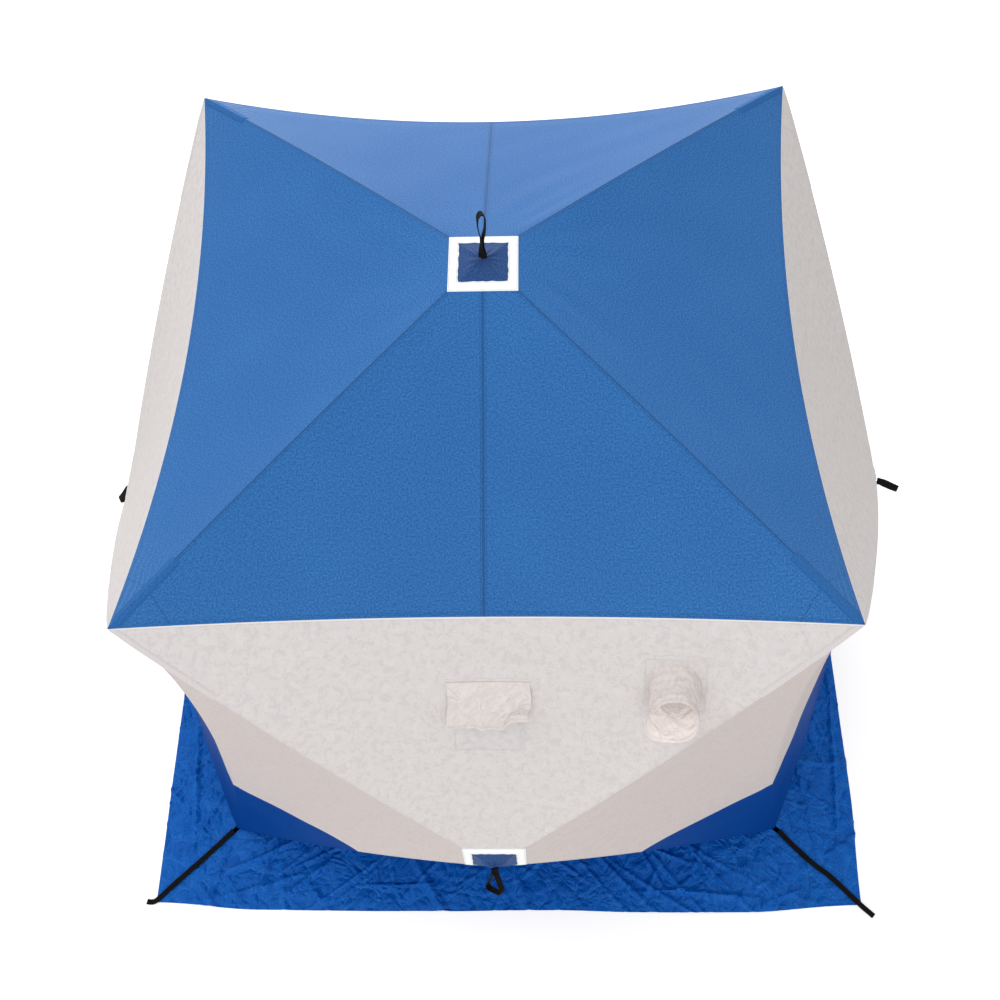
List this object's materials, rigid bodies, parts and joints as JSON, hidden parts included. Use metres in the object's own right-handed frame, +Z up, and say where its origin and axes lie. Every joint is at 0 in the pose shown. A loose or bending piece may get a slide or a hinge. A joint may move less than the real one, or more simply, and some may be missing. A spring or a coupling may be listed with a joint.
{
  "type": "ice fishing hut",
  "caption": "Pop-up cube tent for ice fishing: blue roof, pale walls, dark blue base band and snow skirt, sprung rods, hub patches with pull loops, vent window and vent sleeve.",
  "frame": {"origin": "middle of the footprint, on the ground", "axes": "+Z up, -Y out of the front wall that carries the vents, +X to the right as seen from the front"},
  "size_m": [2.5456, 2.5456, 1.9629],
  "materials": {
    "roof_cloth": "coated blue polyester cloth, fine plain weave, dull sheen",
    "wall_cloth": "off-white polyester cloth with faint pale grey winter mottling",
    "band_cloth": "coated dark blue polyester cloth, smooth, slight sheen",
    "skirt_cloth": "coated deep blue polyester cloth, creased and shiny",
    "patch_cloth": "indigo reinforcing cloth, heavy weave",
    "reflective_tape": "white reflective tape, sewn on",
    "webbing": "black ribbed webbing, matt",
    "rod_fibreglass": "dark drawn fibreglass rod, satin",
    "hub_plastic": "moulded black nylon, matt",
    "socket_metal": "zinc-plated steel sockets",
    "vent_cloth": "pale pinkish lining cloth, soft and creased",
    "window_net": "pale grey fine netting"
  },
  "bodies": {
    "root": {"back_base_band": "band_cloth", "back_snow_skirt": "skirt_cloth", "back_wall_left_panel": "wall_cloth", "back_wall_lower_panel": "wall_cloth", "back_wall_right_panel": "wall_cloth", "back_wall_rods": "rod_fibreglass", "back_wall_upper_panel": "wall_cloth", "corner_straps": "webbing", "entrance_door": "wall_cloth", "front_base_band": "band_cloth", "front_snow_skirt": "skirt_cloth", "front_wall_left_panel": "wall_cloth", "front_wall_lower_panel": "wall_cloth", "front_wall_right_panel": "wall_cloth", "front_wall_rods": "rod_fibreglass", "front_wall_upper_panel": "wall_cloth", "left_base_band": "band_cloth", "left_snow_skirt": "skirt_cloth", "left_wall_left_panel": "wall_cloth", "left_wall_lower_panel": "wall_cloth", "left_wall_right_panel": "wall_cloth", "left_wall_rods": "rod_fibreglass", "left_wall_upper_panel": "wall_cloth", "right_base_band": "band_cloth", "right_snow_skirt": "skirt_cloth", "right_wall_left_panel": "wall_cloth", "right_wall_lower_panel": "wall_cloth", "right_wall_right_panel": "wall_cloth", "right_wall_rods": "rod_fibreglass", "right_wall_upper_panel": "wall_cloth", "roof_back_panel": "roof_cloth", "roof_front_panel": "roof_cloth", "roof_hub": "hub_plastic", "roof_hub_patch": "patch_cloth", "roof_left_panel": "roof_cloth", "roof_pull_loop": "webbing", "roof_reflective_frame": "reflective_tape", "roof_right_panel": "roof_cloth", "roof_rod_sockets": "socket_metal", "roof_rods": "rod_fibreglass", "vent_flap": "vent_cloth", "vent_sleeve": "vent_cloth", "vent_sleeve_patch": "vent_cloth", "vent_window": "window_net", "wall_hub_patches": "patch_cloth", "wall_hubs": "hub_plastic", "wall_pull_loops": "webbing", "wall_reflective_frames": "reflective_tape", "wall_rod_sockets": "socket_metal"}
  },
  "joints": []
}
